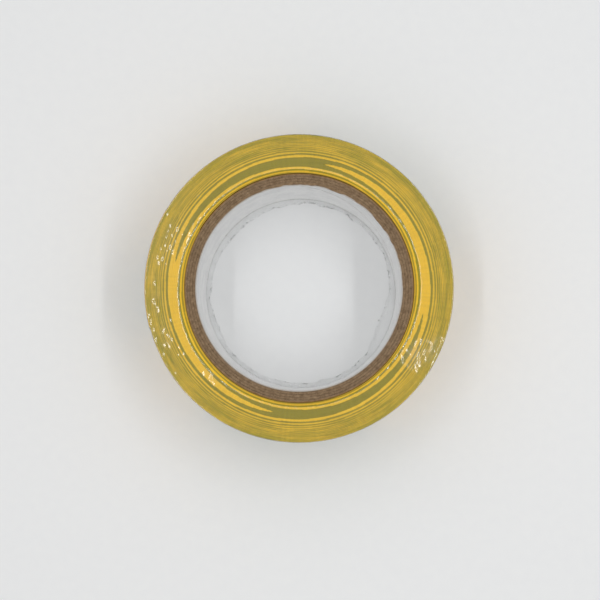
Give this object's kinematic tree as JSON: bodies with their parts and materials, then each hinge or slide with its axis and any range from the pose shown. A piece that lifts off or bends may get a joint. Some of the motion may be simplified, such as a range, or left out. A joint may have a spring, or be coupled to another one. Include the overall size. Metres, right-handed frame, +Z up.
{
  "type": "electrical tape roll",
  "caption": "Roll of green and yellow PVC electrical tape wound on a spiral board core, in a shrunk clear film sleeve, with a loose tape end that peels once the sleeve is off.",
  "frame": {"origin": "centre of the bottom face, on the roll's axis, where the sleeve rests on a table", "axes": "+Z up along the roll's axis, the short way through the roll; +X and +Y across it, and seen from +Z the tape winds outward counter-clockwise to its end at 195 degrees from +X"},
  "size_m": [0.0574, 0.0574, 0.0192],
  "materials": {
    "liner_paper": "matte white paper",
    "core_board": "raw cut brown chipboard",
    "tape_pvc": "calendered soft PVC in green and yellow bars",
    "sleeve_film": "clear shrink film"
  },
  "bodies": {
    "roll": {"core_liner": "liner_paper", "core_ply_1": "core_board", "core_ply_2": "core_board", "core_ply_3": "core_board", "core_ply_4": "core_board", "tape_winding": "tape_pvc"},
    "sleeve": {"shrink_sleeve": "sleeve_film"},
    "tail": {"tape_tail": "tape_pvc"}
  },
  "joints": [
    {"name": "sleeve_lift", "type": "slide", "parent": "roll", "child": "sleeve", "axis": [0, 0, 1], "range_m": [0, 0.045], "deforming": ["shrink_sleeve"]},
    {"name": "tail_peel", "type": "hinge", "parent": "roll", "child": "tail", "pos_m": [-0.02475, 0.01429, 0.0096], "axis": [0, 0, -1], "range_deg": [0, 75]}
  ],
  "couplings": [
    {"joint": "tail_peel", "follows": "sleeve_lift", "rad_per_m": 29}
  ]
}
